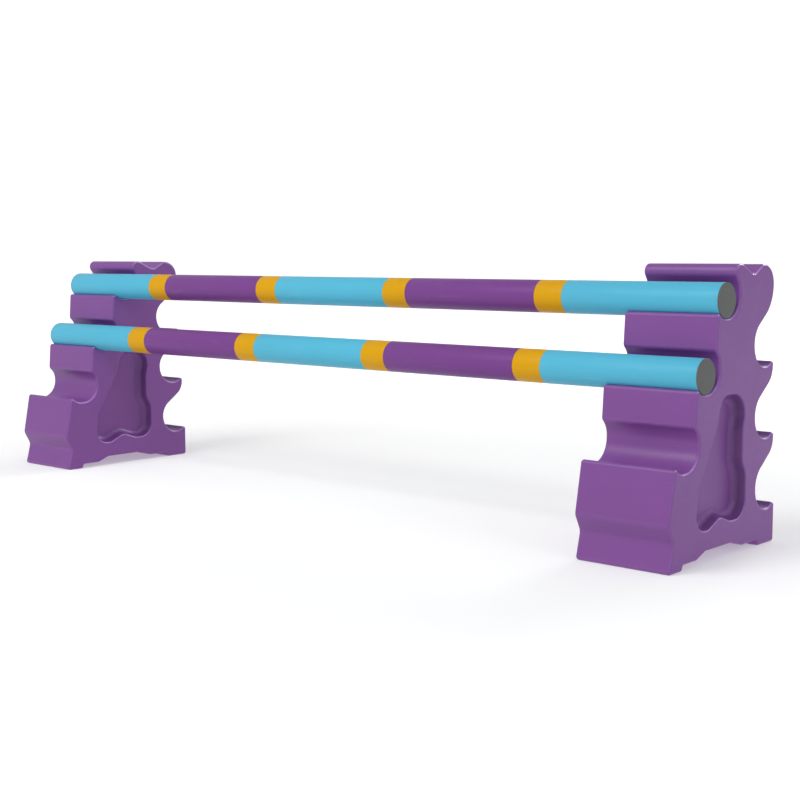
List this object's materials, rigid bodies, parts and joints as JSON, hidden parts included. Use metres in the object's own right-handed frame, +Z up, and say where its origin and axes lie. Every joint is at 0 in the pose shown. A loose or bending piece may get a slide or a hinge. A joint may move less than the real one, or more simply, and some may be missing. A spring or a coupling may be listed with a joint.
{
  "type": "agility hurdle",
  "caption": "Training hurdle: striped poles lie loose in stepped cups in the front and back of two hollow moulded plastic blocks, so that the jump height can be changed.",
  "frame": {"origin": "on the ground, at the middle of the hurdle's overall length and depth", "axes": "+X along the poles towards the right block, +Z up, -Y towards the stepped fronts of the blocks"},
  "size_m": [3.01, 0.601, 0.82],
  "materials": {
    "block_plastic": "satin",
    "vent_plug": "matte",
    "core_tube": "satin",
    "blue_sleeve": "satin",
    "yellow_sleeve": "satin",
    "purple_sleeve": "satin",
    "end_cap": "matte"
  },
  "bodies": {
    "left_stand": {"left_block": "block_plastic", "left_vent_plug": "vent_plug"},
    "right_stand": {"right_block": "block_plastic", "right_vent_plug": "vent_plug"},
    "upper_pole": {"upper_pole_core_tube": "core_tube", "upper_pole_left_cap": "end_cap", "upper_pole_right_cap": "end_cap", "upper_pole_sleeve_1_blue": "blue_sleeve", "upper_pole_sleeve_2_yellow": "yellow_sleeve", "upper_pole_sleeve_3_purple": "purple_sleeve", "upper_pole_sleeve_4_yellow": "yellow_sleeve", "upper_pole_sleeve_5_blue": "blue_sleeve", "upper_pole_sleeve_6_yellow": "yellow_sleeve", "upper_pole_sleeve_7_purple": "purple_sleeve", "upper_pole_sleeve_8_yellow": "yellow_sleeve", "upper_pole_sleeve_9_blue": "blue_sleeve"},
    "lower_pole": {"lower_pole_core_tube": "core_tube", "lower_pole_left_cap": "end_cap", "lower_pole_right_cap": "end_cap", "lower_pole_sleeve_1_blue": "blue_sleeve", "lower_pole_sleeve_2_yellow": "yellow_sleeve", "lower_pole_sleeve_3_purple": "purple_sleeve", "lower_pole_sleeve_4_yellow": "yellow_sleeve", "lower_pole_sleeve_5_blue": "blue_sleeve", "lower_pole_sleeve_6_yellow": "yellow_sleeve", "lower_pole_sleeve_7_purple": "purple_sleeve", "lower_pole_sleeve_8_yellow": "yellow_sleeve", "lower_pole_sleeve_9_blue": "blue_sleeve"}
  },
  "joints": [
    {"name": "right_stand_slide", "type": "slide", "parent": "left_stand", "child": "right_stand", "axis": [1, 0, 0], "range_m": [-1, 0.15]},
    {"name": "upper_pole_lift", "type": "slide", "parent": "left_stand", "child": "upper_pole", "axis": [0, -0.342, 0.9397], "range_m": [0, 0.4]},
    {"name": "lower_pole_lift", "type": "slide", "parent": "left_stand", "child": "lower_pole", "axis": [0, -0.342, 0.9397], "range_m": [0, 0.4]}
  ]
}
